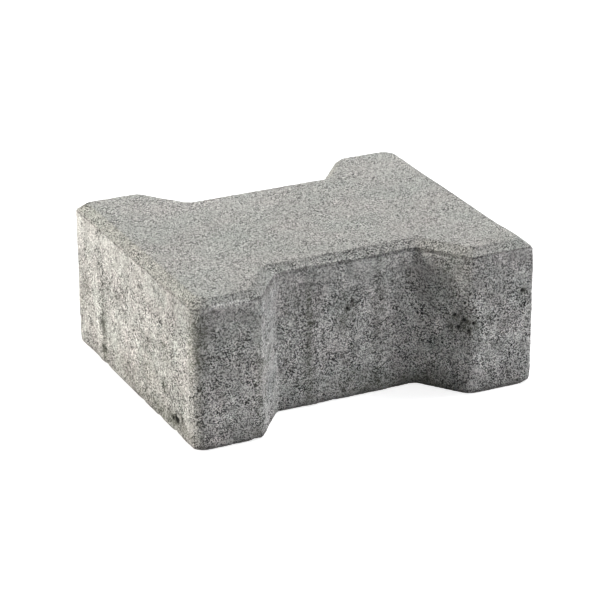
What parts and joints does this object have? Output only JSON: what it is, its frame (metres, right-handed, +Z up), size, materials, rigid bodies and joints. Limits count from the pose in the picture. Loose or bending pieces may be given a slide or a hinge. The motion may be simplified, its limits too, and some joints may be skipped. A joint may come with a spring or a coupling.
{
  "type": "concrete paving stone",
  "caption": "Double-T interlocking paving stone of cast concrete, with a chamfered wearing face, waisted sides and upright spacer nibs.",
  "frame": {"origin": "middle of the bedding face, the flat underside", "axes": "+X along the stone over both heads, +Y across it from notch to notch, +Z up to the chamfered wearing face"},
  "size_m": [0.199, 0.162, 0.082],
  "materials": {
    "concrete": "matt, fine-grained wearing face; open, mottled, pitted sides"
  },
  "bodies": {
    "root": {"paving_stone": "concrete"}
  },
  "joints": []
}
